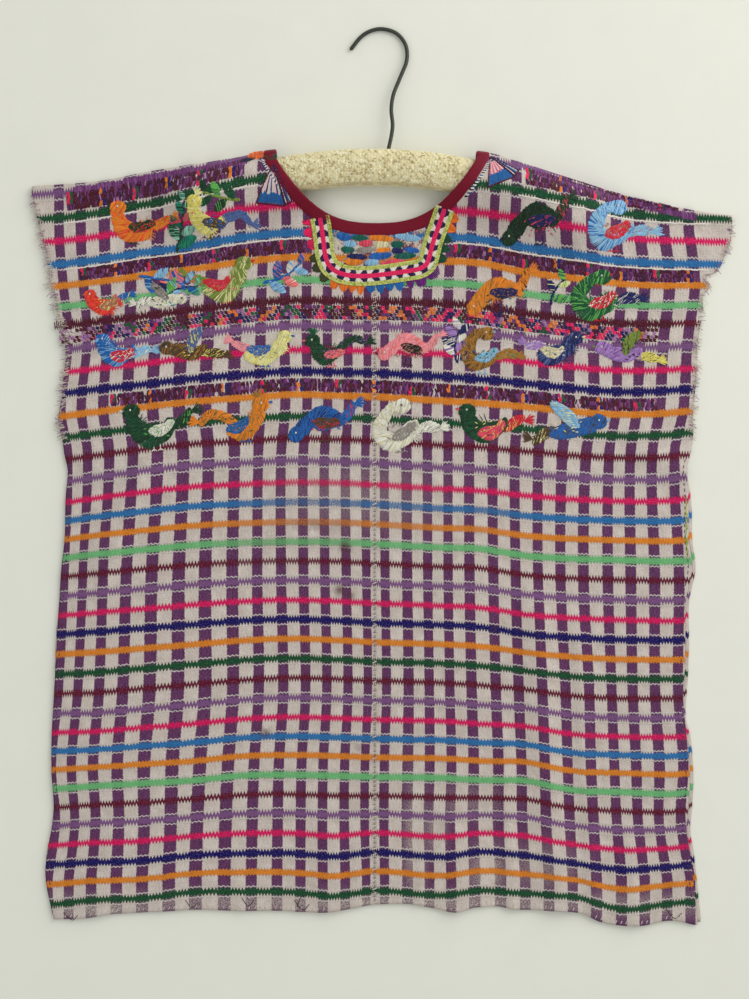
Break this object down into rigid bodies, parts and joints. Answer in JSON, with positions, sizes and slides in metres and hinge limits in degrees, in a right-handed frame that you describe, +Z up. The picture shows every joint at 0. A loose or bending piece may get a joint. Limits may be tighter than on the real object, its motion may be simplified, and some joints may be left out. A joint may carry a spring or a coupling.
{
  "type": "huipil blouse laid flat on a padded coat hanger with a wire hook",
  "caption": "Wide loom-woven huipil blouse with open sleeve ends and a bound round neck, lying flat on its crochet-covered padded hanger with a wire hook.",
  "frame": {"origin": "centre of the bounding box in plan, on the surface the garment lies on", "axes": "+Z up from that surface, +Y from the hem towards the hanger's hook, +X across the front from the left edge seen from above to the right one"},
  "size_m": [0.6441, 0.8267, 0.0309],
  "materials": {
    "woven_cotton": "coarse hand-woven cotton, purple stripes on white with bright weft bands and embroidery",
    "maroon_satin": "soft sheen, folded satin bias tape",
    "trim_braid": "narrow woven braid with zigzags",
    "cream_crochet": "matt crochet with metallic glints",
    "dark_wire": "dark drawn steel wire"
  },
  "bodies": {
    "root": {"panel_left": "woven_cotton", "panel_right": "woven_cotton", "neck_binding": "maroon_satin", "neck_trim": "trim_braid", "hanger_bar": "cream_crochet", "hanger_hook": "dark_wire"}
  },
  "joints": []
}
